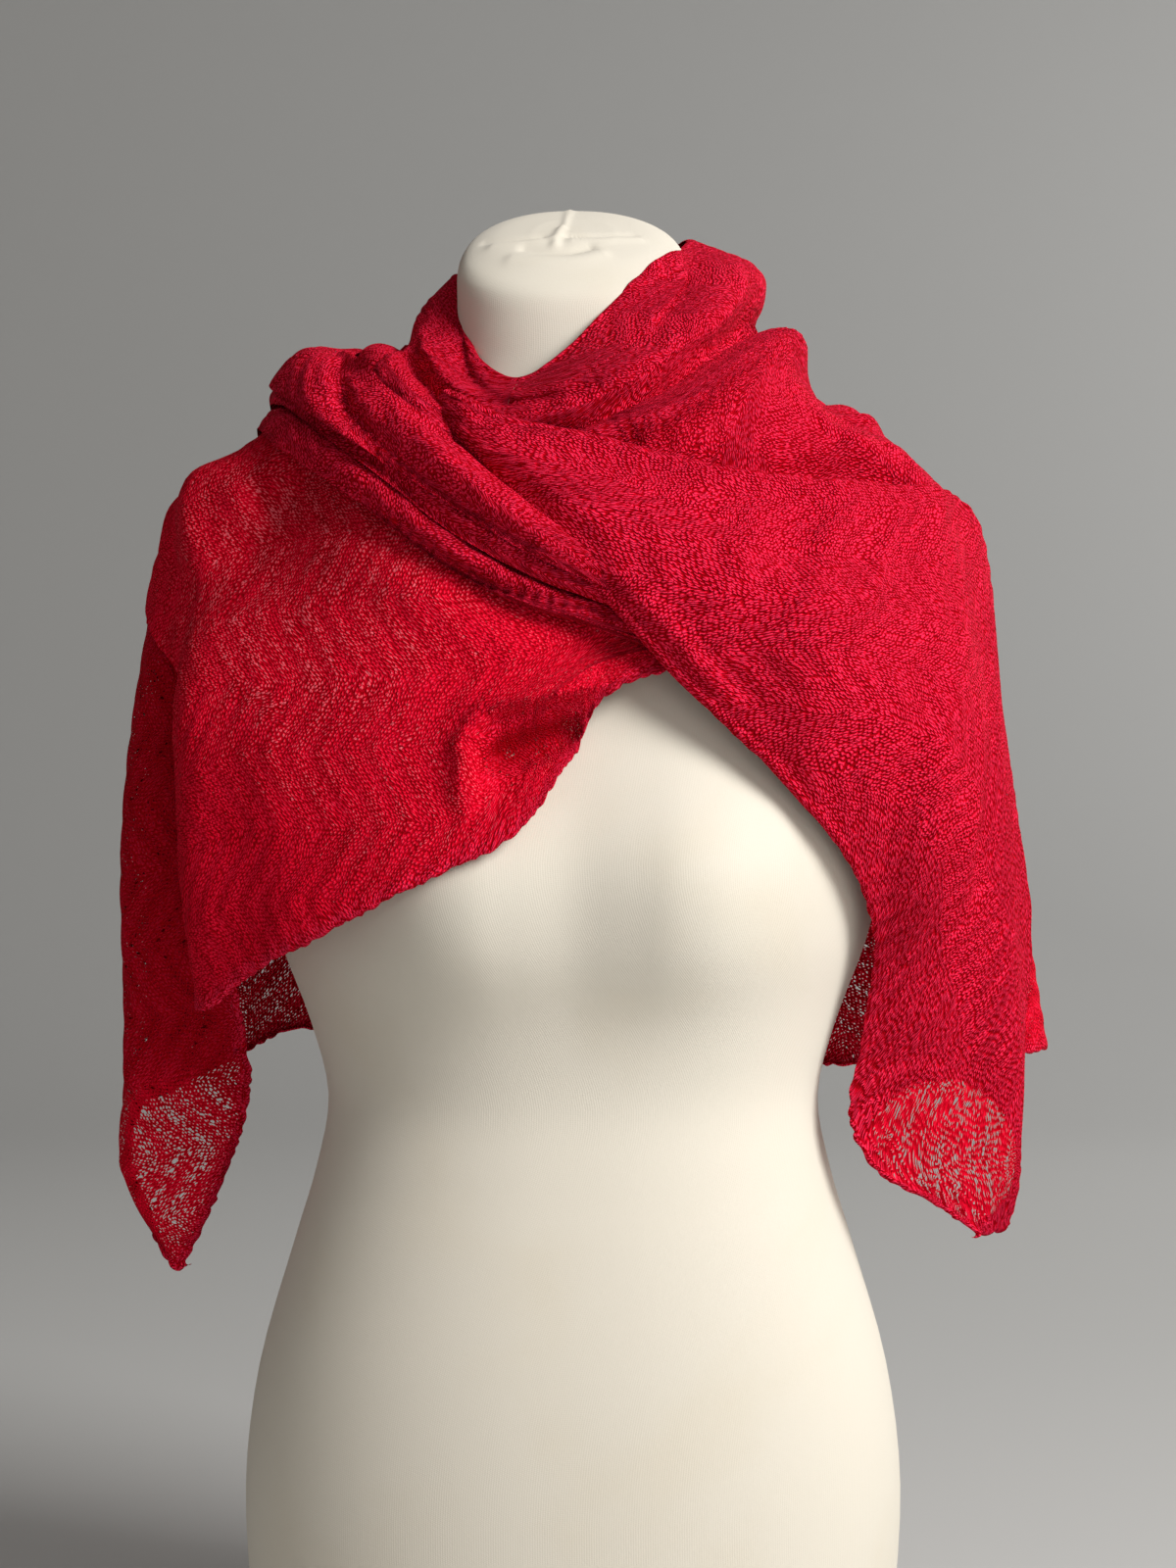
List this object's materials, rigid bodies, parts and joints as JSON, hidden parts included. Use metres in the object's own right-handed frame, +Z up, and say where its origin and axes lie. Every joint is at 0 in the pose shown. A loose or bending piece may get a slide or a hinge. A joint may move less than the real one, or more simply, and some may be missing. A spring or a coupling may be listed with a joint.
{
  "type": "shawl on a dress form",
  "caption": "Red lace-knit shawl wrapped crosswise round the shoulders of a smooth limbless dress form, with a cowl and rolled folds at the neck and hanging pointed ends.",
  "frame": {"origin": "centre of the dress form's flat foot", "axes": "+Z up along the form, +X to the viewer's right of the front, +Y from the front to the back"},
  "size_m": [0.4747, 0.2484, 0.7472],
  "materials": {
    "jersey": "smooth stretch jersey",
    "knit": "matt lace knit"
  },
  "bodies": {
    "root": {"dress_form": "jersey", "back_drape": "knit", "left_tail": "knit", "left_front": "knit", "right_shoulder": "knit", "roll_lower": "knit", "roll_middle": "knit", "roll_neck": "knit", "cowl": "knit", "roll_upper": "knit", "right_front": "knit"}
  },
  "joints": []
}
